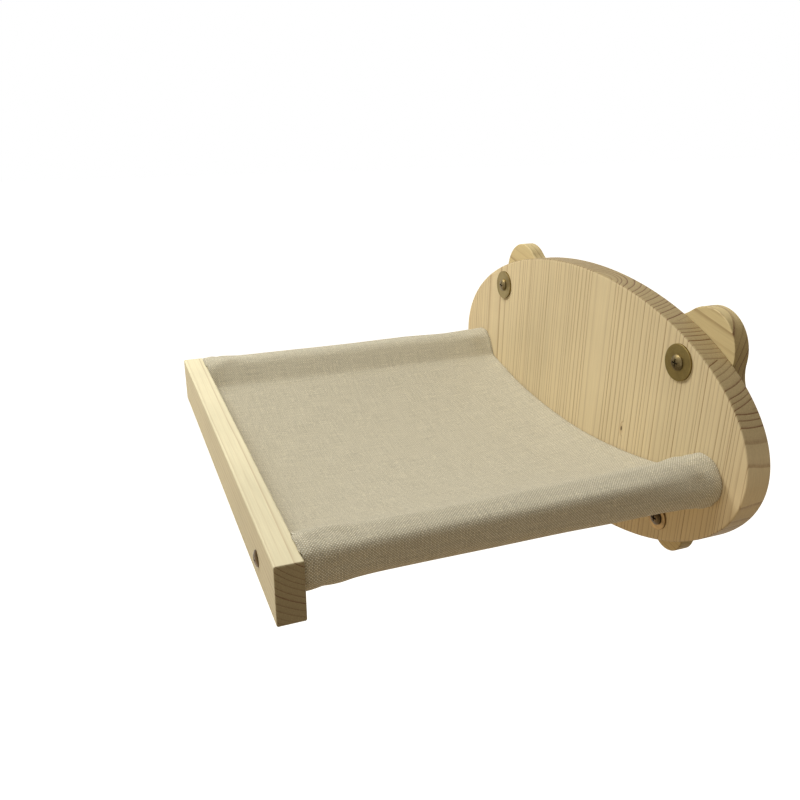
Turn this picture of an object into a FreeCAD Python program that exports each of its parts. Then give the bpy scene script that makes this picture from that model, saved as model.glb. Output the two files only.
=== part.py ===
import FreeCAD, Part
import math
import os

# A wall hammock for a cat. An oval front board and a lobed rear board are screwed to the wall.
# Two round dowels stand out of the boards and end at a flat front rail. One piece of canvas
# hangs between the dowels, which run through a sleeve along each of its edges.
# Millimetres. The wall is the plane y = 0, the hammock points along -Y, +Z is up and +X is
# the right-hand side for someone who faces the wall. The origin is the centre of the four
# wall screws, on the wall.

# Front board
front_board_width = 423.0
front_board_height = 215.0
front_board_thickness = 20.0
front_board_edge_radius = 1.2

# Rear board, with two ears above the oval and two feet below it. Their centres are given
# inwards from the ends of the front board and inwards from its rim.
rear_board_thickness = 12.0
rear_board_inset = 16.0
rear_board_edge_radius = 1.0
ear_radius = 30.0
ear_from_board_end = 78.0
ear_inside_rim = 10.6
ear_inner_blend_radius = 60.0
ear_outer_blend_radius = 30.0
foot_radius = 18.0
foot_from_board_end = 89.5
foot_inside_rim = 3.8
foot_blend_radius = 10.0

# Dowels and front rail
dowel_diameter = 30.0
dowel_from_board_end = 39.5
dowel_below_board_centre = 12.0
dowel_socket_depth = 10.0
dowel_end_chamfer = 1.0
sling_depth = 297.0
rail_thickness = 18.0
rail_height = 40.0
rail_above_dowel_centre = 13.0
rail_beyond_dowel_centre = 22.0
rail_edge_radius = 1.2

# Canvas sling
canvas_thickness = 0.8
sleeve_clearance = 0.2
sling_end_clearance = 0.5
seam_from_dowel_centre = 24.5
seam_below_dowel_centre = 3.5
sling_edge_sag = 22.0
sling_middle_sag = 29.5

# Wall screws and their washers
wall_screw_from_board_end = 79.5
wall_screw_from_board_top = 44.0
wall_screw_diameter = 5.0
wall_screw_shank_diameter = 3.7
wall_screw_length = 60.0
wall_screw_tip_length = 6.0
wall_screw_head_diameter = 11.8
wall_screw_head_height = 2.4
wall_screw_head_rim_height = 0.8
wall_screw_recess_depth = 1.6
wall_screw_hole_clearance = 0.25
upper_washer_diameter = 27.5
upper_washer_thickness = 1.6
lower_washer_diameter = 20.0
lower_washer_thickness = 1.6
washer_bore_clearance = 0.3
washer_edge_radius = 0.3

# Low-headed screw in the front of the rail, placed from the rail's right end and its top
rail_screw_from_rail_end = 50.5
rail_screw_below_rail_top = 24.0
rail_screw_diameter = 4.0
rail_screw_length = 14.0
rail_screw_tip_length = 4.0
rail_screw_head_diameter = 11.0
rail_screw_head_height = 1.8
rail_screw_head_rim_height = 0.5
rail_screw_recess_depth = 1.2

# Cross-shaped driver recesses of the wall screws and the rail screw
cross_recess_width = 1.2
cross_recess_span = 5.8

# Screws that hold the dowels to the boards, from behind
dowel_screw_diameter = 6.0
dowel_screw_length = 80.0
dowel_screw_tip_length = 6.0
dowel_screw_head_diameter = 11.6
dowel_screw_head_height = 3.6
dowel_screw_recess = 1.0
dowel_screw_hole_clearance = 0.25
dowel_screw_head_clearance = 0.2
hex_recess_across_flats = 4.0
hex_recess_depth = 2.4

# Hanger bolts and threaded inserts that hold the rail to the dowels
hanger_bolt_diameter = 8.0
hanger_bolt_length = 55.0
hanger_bolt_in_rail = 12.0
hanger_bolt_end_chamfer = 1.0
rail_insert_diameter = 12.0
rail_insert_length = 13.0

# One overrun serves every cut, so that no cut ends on a face
cut_overrun = 1.0

# How far an edge may lie from a plane or a circle and still count as part of it
pick_tolerance = 0.01

# Depths along Y, from the wall outwards
rear_board_front_y = -rear_board_thickness
board_face_y = rear_board_front_y - front_board_thickness
rail_back_y = board_face_y - sling_depth
rail_front_y = rail_back_y - rail_thickness
dowel_back_y = board_face_y + dowel_socket_depth

# Places across the board, from its ends and its top
dowel_centre_x = front_board_width / 2 - dowel_from_board_end
dowel_centre_z = -dowel_below_board_centre
ear_centre_x = front_board_width / 2 - ear_from_board_end
foot_centre_x = front_board_width / 2 - foot_from_board_end
wall_screw_spacing_x = front_board_width - 2 * wall_screw_from_board_end
wall_screw_spacing_z = front_board_height - 2 * wall_screw_from_board_top

# Radii and heights that several pieces share
dowel_radius = dowel_diameter / 2
sleeve_bore_radius = dowel_radius + sleeve_clearance
sleeve_outer_radius = sleeve_bore_radius + canvas_thickness
seam_centre_x = dowel_centre_x - seam_from_dowel_centre
seam_centre_z = dowel_centre_z - seam_below_dowel_centre
rail_top_z = dowel_centre_z + rail_above_dowel_centre
rail_bottom_z = rail_top_z - rail_height
rail_half_length = dowel_centre_x + rail_beyond_dowel_centre
rail_screw_x = rail_half_length - rail_screw_from_rail_end
rail_screw_z = rail_top_z - rail_screw_below_rail_top
rail_screw_radius = rail_screw_diameter / 2
wall_screw_radius = wall_screw_diameter / 2
wall_screw_shank_radius = wall_screw_shank_diameter / 2
dowel_screw_radius = dowel_screw_diameter / 2
hanger_bolt_radius = hanger_bolt_diameter / 2

OUT_OF_WALL = FreeCAD.Vector(0, -1, 0)
INTO_WALL = FreeCAD.Vector(0, 1, 0)

SIDES = {"left": -1, "right": 1}
LEVELS = {"upper": 1, "lower": -1}


def round_bar(radius, x, z, y_from, y_to):
    """A cylinder along Y between two depths."""
    direction = INTO_WALL if y_to > y_from else OUT_OF_WALL
    return Part.makeCylinder(radius, abs(y_to - y_from), FreeCAD.Vector(x, y_from, z), direction)


def tapered_bar(radius_from, radius_to, x, z, y_from, y_to):
    """A cone frustum along Y between two depths."""
    direction = INTO_WALL if y_to > y_from else OUT_OF_WALL
    start = FreeCAD.Vector(x, y_from, z)
    return Part.makeCone(radius_from, radius_to, abs(y_to - y_from), start, direction)


def block(x_from, x_to, y_from, y_to, z_from, z_to):
    """A box between two corners."""
    corner = FreeCAD.Vector(x_from, y_from, z_from)
    return Part.makeBox(x_to - x_from, y_to - y_from, z_to - z_from, corner)


def oval_slab(width, height, y_back, thickness):
    """An elliptical slab that reaches from y_back out of the wall."""
    centre = FreeCAD.Vector(0, y_back, 0)
    side_point = FreeCAD.Vector(width / 2, y_back, 0)
    top_point = FreeCAD.Vector(0, y_back, height / 2)
    outline = Part.Wire([Part.Ellipse(side_point, top_point, centre).toShape()])
    return Part.Face(outline).extrude(OUT_OF_WALL * thickness)


def is_flat_at(edge, y):
    """True where an edge lies in the plane at depth y."""
    box = edge.BoundBox
    return abs(box.YMin - y) < pick_tolerance and abs(box.YMax - y) < pick_tolerance


def runs_along_y(edge):
    """True where an edge is a straight line along Y."""
    box = edge.BoundBox
    return box.XLength < pick_tolerance and box.ZLength < pick_tolerance


def wall_screw_places():
    """Name, x, z and level of each wall screw."""
    for level, up in LEVELS.items():
        for side, across in SIDES.items():
            x = across * wall_screw_spacing_x / 2
            z = up * wall_screw_spacing_z / 2
            yield level + "_" + side, x, z, level


def drill_for_wall_screws(board, y_back, thickness):
    """The board with a clearance hole for each wall screw."""
    hole_radius = wall_screw_radius + wall_screw_hole_clearance
    for _, x, z, _ in wall_screw_places():
        y_from = y_back + cut_overrun
        y_to = y_back - thickness - cut_overrun
        board = board.cut(round_bar(hole_radius, x, z, y_from, y_to))
    return board


def drill_for_dowel_screws(board, y_back, thickness):
    """The board with a clearance hole for each dowel screw."""
    hole_radius = dowel_screw_radius + dowel_screw_hole_clearance
    for across in SIDES.values():
        x = across * dowel_centre_x
        y_from = y_back + cut_overrun
        y_to = y_back - thickness - cut_overrun
        board = board.cut(round_bar(hole_radius, x, dowel_centre_z, y_from, y_to))
    return board


def front_board():
    """The oval board, with eased rims and a blind socket for each dowel in its face."""
    board = oval_slab(front_board_width, front_board_height, rear_board_front_y,
                      front_board_thickness)
    rims = [e for e in board.Edges if is_flat_at(e, board_face_y) or is_flat_at(e, rear_board_front_y)]
    board = board.makeFillet(front_board_edge_radius, rims)
    board = drill_for_wall_screws(board, rear_board_front_y, front_board_thickness)
    board = drill_for_dowel_screws(board, rear_board_front_y, front_board_thickness)
    for across in SIDES.values():
        socket = round_bar(dowel_radius, across * dowel_centre_x, dowel_centre_z,
                           dowel_back_y, board_face_y - cut_overrun)
        board = board.cut(socket)
    return board


def rim_height(x):
    """How high the rim of the front board stands above its centre, at one place across it."""
    across_share = 2 * x / front_board_width
    return front_board_height / 2 * math.sqrt(1 - across_share ** 2)


def lobe(radius, x, z):
    """One round ear or foot, as thick as the rear board."""
    return round_bar(radius, x, z, 0, -rear_board_thickness)


def blend_notches(board, centre_x, centre_z, radius, inner_blend, outer_blend):
    """Round the two notches where a lobe meets the oval of the rear board."""
    for which_side, blend in (("inner", inner_blend), ("outer", outer_blend)):
        notches = []
        for edge in board.Edges:
            if not runs_along_y(edge):
                continue
            point = edge.Vertexes[0].Point
            reach = math.hypot(point.x - centre_x, point.z - centre_z)
            outward = (abs(point.x) > abs(centre_x)) == (which_side == "outer")
            if abs(reach - radius) < pick_tolerance and outward:
                notches.append(edge)
        board = board.makeFillet(blend, notches)
    return board


def rear_board():
    """The board against the wall, whose ears and feet show round the oval front board."""
    width = front_board_width - 2 * rear_board_inset
    height = front_board_height - 2 * rear_board_inset
    board = oval_slab(width, height, 0, rear_board_thickness)
    ear_centre_z = rim_height(ear_centre_x) - ear_inside_rim
    foot_centre_z = foot_inside_rim - rim_height(foot_centre_x)
    lobes = []
    for across in SIDES.values():
        lobes.append((across * ear_centre_x, ear_centre_z, ear_radius,
                      ear_inner_blend_radius, ear_outer_blend_radius))
        lobes.append((across * foot_centre_x, foot_centre_z, foot_radius,
                      foot_blend_radius, foot_blend_radius))
    for x, z, radius, _, _ in lobes:
        board = board.fuse(lobe(radius, x, z))
    board = board.removeSplitter()
    for x, z, radius, inner_blend, outer_blend in lobes:
        board = blend_notches(board, x, z, radius, inner_blend, outer_blend)
    rims = [e for e in board.Edges if is_flat_at(e, rear_board_front_y)]
    board = board.makeFillet(rear_board_edge_radius, rims)
    board = drill_for_wall_screws(board, 0, rear_board_thickness)
    board = drill_for_dowel_screws(board, 0, rear_board_thickness)
    for across in SIDES.values():
        board = board.cut(dowel_screw_seat(across * dowel_centre_x))
    return board


def dowel_screw_seat(x):
    """The counterbore and countersink that take a dowel screw's head below the wall face."""
    head_radius = dowel_screw_head_diameter / 2 + dowel_screw_head_clearance
    neck_radius = dowel_screw_radius + dowel_screw_hole_clearance
    seat_end_y = -dowel_screw_recess - dowel_screw_head_height
    mouth = round_bar(head_radius, x, dowel_centre_z, cut_overrun, -dowel_screw_recess)
    cone = tapered_bar(head_radius, neck_radius, x, dowel_centre_z, -dowel_screw_recess, seat_end_y)
    return mouth.fuse(cone)


def dowel(across):
    """A round bar from its socket in the front board to the back of the rail."""
    x = across * dowel_centre_x
    bar = round_bar(dowel_radius, x, dowel_centre_z, dowel_back_y, rail_back_y)
    bar = bar.makeChamfer(dowel_end_chamfer, [e for e in bar.Edges if is_flat_at(e, dowel_back_y)])
    screw_end_y = -dowel_screw_recess - dowel_screw_length
    pilot = round_bar(dowel_screw_radius, x, dowel_centre_z, dowel_back_y + cut_overrun, screw_end_y)
    bolt_end_y = rail_back_y + hanger_bolt_length - hanger_bolt_in_rail
    bolt_hole = round_bar(hanger_bolt_radius, x, dowel_centre_z, rail_back_y - cut_overrun, bolt_end_y)
    return bar.cut(pilot).cut(bolt_hole)


def front_rail():
    """The flat batten across the front, with blind holes for two inserts and one screw."""
    rail = block(-rail_half_length, rail_half_length, rail_front_y, rail_back_y,
                 rail_bottom_z, rail_top_z)
    rail = rail.makeFillet(rail_edge_radius, rail.Edges)
    for across in SIDES.values():
        hole = round_bar(rail_insert_diameter / 2, across * dowel_centre_x, dowel_centre_z,
                         rail_back_y + cut_overrun, rail_back_y - rail_insert_length)
        rail = rail.cut(hole)
    pilot = round_bar(rail_screw_radius, rail_screw_x, rail_screw_z,
                      rail_front_y - cut_overrun, rail_front_y + rail_screw_length)
    return rail.cut(pilot)


def sling_section(y, sag):
    """The outline of the canvas between its two seams, at one depth: two arcs and two ends."""
    upper_z = seam_centre_z + canvas_thickness / 2
    lower_z = seam_centre_z - canvas_thickness / 2
    upper_left = FreeCAD.Vector(-seam_centre_x, y, upper_z)
    upper_middle = FreeCAD.Vector(0, y, upper_z - sag)
    upper_right = FreeCAD.Vector(seam_centre_x, y, upper_z)
    lower_left = FreeCAD.Vector(-seam_centre_x, y, lower_z)
    lower_middle = FreeCAD.Vector(0, y, lower_z - sag)
    lower_right = FreeCAD.Vector(seam_centre_x, y, lower_z)
    return Part.Wire([
        Part.Arc(upper_left, upper_middle, upper_right).toShape(),
        Part.LineSegment(upper_right, lower_right).toShape(),
        Part.Arc(lower_right, lower_middle, lower_left).toShape(),
        Part.LineSegment(lower_left, upper_left).toShape(),
    ])


# Where the sections of the sling lie, as shares of its depth, and how much of the extra sag
# in its middle each has
sling_section_depth_shares = (0.0, 0.25, 0.5, 0.75, 1.0)
sling_section_sag_shares = (0.0, 0.72, 1.0, 0.72, 0.0)


def sling_panel(y_back, y_front):
    """The sagging sheet between the two seams."""
    extra_sag = sling_middle_sag - sling_edge_sag
    sections = []
    for depth_share, sag_share in zip(sling_section_depth_shares, sling_section_sag_shares):
        y = y_back + depth_share * (y_front - y_back)
        sections.append(sling_section(y, sling_edge_sag + sag_share * extra_sag))
    return Part.makeLoft(sections, True, False)


def drop_bar(radius, across, y_from, y_to):
    """A bar round one dowel with the outline of a drop, whose point lies at the seam."""
    reach = math.hypot(seam_from_dowel_centre, seam_below_dowel_centre)
    middle_radius = (sleeve_bore_radius + sleeve_outer_radius) / 2
    point_reach = reach * radius / middle_radius
    seam_angle = math.pi + math.atan2(seam_below_dowel_centre, seam_from_dowel_centre)
    half_turn = math.acos(middle_radius / reach)

    def place(distance, angle):
        x = dowel_centre_x + distance * math.cos(angle)
        return FreeCAD.Vector(across * x, y_from, dowel_centre_z + distance * math.sin(angle))

    point = place(point_reach, seam_angle)
    upper = place(radius, seam_angle - half_turn)
    far_side = place(radius, seam_angle + math.pi)
    lower = place(radius, seam_angle + half_turn)
    outline = Part.Wire([
        Part.LineSegment(point, upper).toShape(),
        Part.Arc(upper, far_side, lower).toShape(),
        Part.LineSegment(lower, point).toShape(),
    ])
    return Part.Face(outline).extrude(FreeCAD.Vector(0, y_to - y_from, 0))


def fabric_sling():
    """One piece of canvas: a sagging sheet with a sleeve round each dowel."""
    y_back = board_face_y - sling_end_clearance
    y_front = rail_back_y + sling_end_clearance
    sling = sling_panel(y_back, y_front)
    for across in SIDES.values():
        outside = drop_bar(sleeve_outer_radius, across, y_back, y_front)
        bore = drop_bar(sleeve_bore_radius, across, y_back + cut_overrun, y_front - cut_overrun)
        sling = sling.fuse(outside.cut(bore))
    return sling


def cross_recess(x, z, y_face, depth):
    """The cross-shaped driver recess of a screw head, cut inwards from y_face."""
    half_width = cross_recess_width / 2
    half_span = cross_recess_span / 2
    y_from = y_face - cut_overrun
    y_to = y_face + depth
    flat = block(x - half_span, x + half_span, y_from, y_to, z - half_width, z + half_width)
    upright = block(x - half_width, x + half_width, y_from, y_to, z - half_span, z + half_span)
    return flat.fuse(upright)


def washer_thickness(level):
    """The thickness of the washers at one level."""
    return upper_washer_thickness if level == "upper" else lower_washer_thickness


def washer(x, z, level):
    """A flat steel washer on the face of the front board."""
    diameter = upper_washer_diameter if level == "upper" else lower_washer_diameter
    outer_y = board_face_y - washer_thickness(level)
    disc = round_bar(diameter / 2, x, z, board_face_y, outer_y)
    disc = disc.makeFillet(washer_edge_radius, [e for e in disc.Edges if is_flat_at(e, outer_y)])
    bore_radius = wall_screw_radius + washer_bore_clearance
    bore = round_bar(bore_radius, x, z, board_face_y + cut_overrun, outer_y - cut_overrun)
    return disc.cut(bore)


def domed_head(x, z, y_seat, radius, height, rim_height):
    """A round screw head: a short rim under a dome, turned about the screw's axis."""
    y_rim = y_seat - rim_height
    y_top = y_seat - height
    dome_height = height - rim_height
    shoulder_x = x + radius * math.cos(math.pi / 4)
    shoulder_y = y_rim - dome_height * math.sin(math.pi / 4)
    shoulder = FreeCAD.Vector(shoulder_x, shoulder_y, z)
    rim_start = FreeCAD.Vector(x + radius, y_seat, z)
    rim_end = FreeCAD.Vector(x + radius, y_rim, z)
    apex = FreeCAD.Vector(x, y_top, z)
    base = FreeCAD.Vector(x, y_seat, z)
    outline = Part.Wire([
        Part.LineSegment(base, rim_start).toShape(),
        Part.LineSegment(rim_start, rim_end).toShape(),
        Part.Arc(rim_end, shoulder, apex).toShape(),
        Part.LineSegment(apex, base).toShape(),
    ])
    full_turn = 360
    return Part.Face(outline).revolve(base, INTO_WALL, full_turn)


def wall_screw(x, z, level):
    """A pan-head screw through washer and boards, threaded from the wall face to its tip."""
    y_seat = board_face_y - washer_thickness(level)
    y_tip = y_seat + wall_screw_length
    y_taper = y_tip - wall_screw_tip_length
    shank = round_bar(wall_screw_shank_radius, x, z, y_seat, 0)
    thread = round_bar(wall_screw_radius, x, z, 0, y_taper)
    tip = Part.makeCone(wall_screw_radius, 0, wall_screw_tip_length,
                        FreeCAD.Vector(x, y_taper, z), INTO_WALL)
    head = domed_head(x, z, y_seat, wall_screw_head_diameter / 2, wall_screw_head_height,
                      wall_screw_head_rim_height)
    recess = cross_recess(x, z, y_seat - wall_screw_head_height, wall_screw_recess_depth)
    return head.fuse(shank).fuse(thread).fuse(tip).cut(recess).removeSplitter()


def rail_screw():
    """The low-headed screw in the front face of the rail, near its right end."""
    x, z = rail_screw_x, rail_screw_z
    y_tip = rail_front_y + rail_screw_length
    y_taper = y_tip - rail_screw_tip_length
    shank = round_bar(rail_screw_radius, x, z, rail_front_y, y_taper)
    tip = Part.makeCone(rail_screw_radius, 0, rail_screw_tip_length,
                        FreeCAD.Vector(x, y_taper, z), INTO_WALL)
    head = domed_head(x, z, rail_front_y, rail_screw_head_diameter / 2, rail_screw_head_height,
                      rail_screw_head_rim_height)
    recess = cross_recess(x, z, rail_front_y - rail_screw_head_height, rail_screw_recess_depth)
    return head.fuse(shank).fuse(tip).cut(recess).removeSplitter()


def hex_recess(x, z, y_face):
    """The hexagonal driver recess of a dowel screw, cut inwards from y_face."""
    sides = 6
    corner_radius = hex_recess_across_flats / 2 / math.cos(math.pi / sides)
    corners = []
    for index in range(sides + 1):
        angle = 2 * math.pi * index / sides
        corners.append(FreeCAD.Vector(x + corner_radius * math.cos(angle), y_face + cut_overrun,
                                      z + corner_radius * math.sin(angle)))
    outline = Part.Face(Part.makePolygon(corners))
    return outline.extrude(OUT_OF_WALL * (hex_recess_depth + cut_overrun))


def dowel_screw(across):
    """A countersunk screw from behind, through both boards and into a dowel's end."""
    x = across * dowel_centre_x
    head_y = -dowel_screw_recess
    neck_y = head_y - dowel_screw_head_height
    tip_y = head_y - dowel_screw_length
    taper_y = tip_y + dowel_screw_tip_length
    head = tapered_bar(dowel_screw_head_diameter / 2, dowel_screw_radius, x, dowel_centre_z,
                       head_y, neck_y)
    shank = round_bar(dowel_screw_radius, x, dowel_centre_z, neck_y, taper_y)
    tip = Part.makeCone(dowel_screw_radius, 0, dowel_screw_tip_length,
                        FreeCAD.Vector(x, taper_y, dowel_centre_z), OUT_OF_WALL)
    screw = head.fuse(shank).fuse(tip).removeSplitter()
    return screw.cut(hex_recess(x, dowel_centre_z, head_y))


def hanger_bolt(across):
    """A headless bolt, half in the dowel's front end and half in the rail's insert."""
    x = across * dowel_centre_x
    y_front = rail_back_y - hanger_bolt_in_rail
    y_back = y_front + hanger_bolt_length
    bolt = round_bar(hanger_bolt_radius, x, dowel_centre_z, y_front, y_back)
    ends = [e for e in bolt.Edges if is_flat_at(e, y_front) or is_flat_at(e, y_back)]
    return bolt.makeChamfer(hanger_bolt_end_chamfer, ends)


def rail_insert(across):
    """A threaded bush in the back of the rail."""
    x = across * dowel_centre_x
    y_end = rail_back_y - rail_insert_length
    bush = round_bar(rail_insert_diameter / 2, x, dowel_centre_z, rail_back_y, y_end)
    bore = round_bar(hanger_bolt_radius, x, dowel_centre_z, rail_back_y + cut_overrun,
                     y_end - cut_overrun)
    return bush.cut(bore)


def all_pieces():
    """Every piece by its name."""
    pieces = {
        "front_board": front_board(),
        "rear_board": rear_board(),
        "front_rail": front_rail(),
        "fabric_sling": fabric_sling(),
        "rail_screw": rail_screw(),
    }
    for side, across in SIDES.items():
        pieces["dowel_" + side] = dowel(across)
        pieces["dowel_screw_" + side] = dowel_screw(across)
        pieces["hanger_bolt_" + side] = hanger_bolt(across)
        pieces["rail_insert_" + side] = rail_insert(across)
    for place, x, z, level in wall_screw_places():
        pieces["wall_screw_" + place] = wall_screw(x, z, level)
        pieces["washer_" + place] = washer(x, z, level)
    return pieces


def main():
    """Write one STEP file for each piece."""
    os.makedirs("parts", exist_ok=True)
    for name, shape in all_pieces().items():
        if len(shape.Solids) == 1:
            shape = shape.Solids[0]
        shape.exportStep("parts/" + name + ".step")
        print(name, len(shape.Solids), "solid", round(shape.Volume), "mm3", "valid", shape.isValid())


main()
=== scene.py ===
"""Looks of a wall hammock for a cat: bare pine, a canvas sling, plated screws, studio and camera.

Metres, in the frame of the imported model. The wall is the plane y = 0, the hammock reaches out
along -Y, +Z is up, and the origin is the centre of the four wall screws.
"""
import logging
import math
from bisect import bisect_left
from dataclasses import dataclass, field
from enum import Enum
from functools import cached_property
from itertools import accumulate
from typing import Any, ClassVar

import bmesh
import bpy
from mathutils import Matrix, Vector, noise


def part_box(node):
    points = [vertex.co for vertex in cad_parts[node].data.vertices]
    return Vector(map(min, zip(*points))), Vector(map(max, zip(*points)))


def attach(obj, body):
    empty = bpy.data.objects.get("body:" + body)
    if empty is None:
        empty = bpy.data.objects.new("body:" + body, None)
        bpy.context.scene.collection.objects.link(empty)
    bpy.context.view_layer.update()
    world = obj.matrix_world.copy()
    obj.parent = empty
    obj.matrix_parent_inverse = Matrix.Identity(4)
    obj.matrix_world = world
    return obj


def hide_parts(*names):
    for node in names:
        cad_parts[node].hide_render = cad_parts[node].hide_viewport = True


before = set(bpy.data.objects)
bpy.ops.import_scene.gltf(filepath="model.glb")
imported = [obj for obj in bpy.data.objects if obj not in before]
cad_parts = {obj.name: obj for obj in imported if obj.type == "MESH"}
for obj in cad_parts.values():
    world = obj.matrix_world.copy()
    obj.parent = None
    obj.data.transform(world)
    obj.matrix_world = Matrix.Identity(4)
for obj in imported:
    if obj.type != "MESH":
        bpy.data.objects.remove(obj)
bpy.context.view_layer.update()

MM = 0.001
WHITE = (1.0, 1.0, 1.0, 1.0)
BODY = "root"
SIDES = ("left", "right")
NOISE_SPAN = (0.3, 0.7)

Span = tuple[float, float]
Triple = tuple[float, float, float]
Pattern = bpy.types.Node | bpy.types.NodeSocket

log = logging.getLogger("wall_hammock")


def linear(hex_colour: str) -> tuple[float, float, float, float]:
    """Turn an sRGB hex colour to linear light.

    Args:
        hex_colour: Six hex digits after a hash.

    Returns:
        Red, green, blue and an alpha of one.
    """
    channels = [int(hex_colour[at:at + 2], 16) / 255 for at in (1, 3, 5)]
    red, green, blue = [c / 12.92 if c <= 0.04045 else ((c + 0.055) / 1.055) ** 2.4
                        for c in channels]
    return red, green, blue, 1.0


def smooth_step(value: float, low: float, high: float) -> float:
    """Ease from 0 at low to 1 at high."""
    share = min(max((value - low) / (high - low), 0.0), 1.0)
    return share * share * (3 - 2 * share)


@dataclass(frozen=True)
class Finish:
    """What a piece is finished in: a name, and one way to add a node to its material."""

    name: str
    library: ClassVar[str] = "materials"

    @cached_property
    def block(self) -> bpy.types.Material | bpy.types.World:
        """Start what holds the nodes, with none in it.

        Returns:
            The material or the world.
        """
        block = getattr(bpy.data, self.library).new(self.name)
        block.use_nodes = True
        block.node_tree.nodes.clear()
        return block

    @cached_property
    def material(self) -> bpy.types.Material:
        """The finish as a node material, built at its first use."""
        self.add("OutputMaterial", self.surface())
        return self.block

    def add(self, kind: str, *values: Any, **named: Any) -> bpy.types.Node:
        """Add one node with its settings and links.

        A value is a number, a vector, a hex colour, another node's output, or another node,
        which gives its first output in use.

        Args:
            kind: The node's type, without its ShaderNode prefix, and its operation after a dot.
            *values: What the inputs in use get, in their order.
            **named: What properties and named inputs get, and the places and levels of a ramp.

        Returns:
            The new node.
        """
        tree = self.block.node_tree
        kind, _, operation = kind.partition(".")
        node = tree.nodes.new("ShaderNode" + kind)
        if operation:
            node.operation = operation
        pairs = []
        for name, value in named.items():
            if name in node.inputs:
                pairs.append((node.inputs[name], value))
            elif name == "stops":
                elements = node.color_ramp.elements
                while len(elements) < len(value):
                    elements.new(1.0)
                for element, (place, level) in zip(elements, value):
                    element.position = place
                    element.color = linear(level) if isinstance(level, str) else (level,) * 3 + (1,)
            else:
                setattr(node, name, value)
        pairs += zip([socket for socket in node.inputs if socket.enabled], values)
        for socket, value in pairs:
            if isinstance(value, bpy.types.Node):
                value = next(output for output in value.outputs if output.enabled)
            if isinstance(value, bpy.types.NodeSocket):
                tree.links.new(value, socket)
            else:
                socket.default_value = linear(value) if isinstance(value, str) else value
        return node


@dataclass(frozen=True)
class Knot:
    """A branch that runs into the wood along Y and shows as a dark oval, in millimetres."""

    x: float
    z: float
    half_width: float
    half_height: float
    end_y: float


class GrainRun(Enum):
    """Which way the fibres of a board run, as a turn about Y from +Z, in degrees."""

    UPRIGHT = 0.0
    ACROSS = 90.0


@dataclass(frozen=True)
class Stave:
    """One strip of a glued board, from its left joint, with its own pith, in millimetres."""

    left: float
    pith_x: float
    pith_y: float

    @property
    def pith(self) -> Triple:
        """Where its pith lies across the fibres, in metres."""
        return self.pith_x * MM, self.pith_y * MM, 0.0


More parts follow.
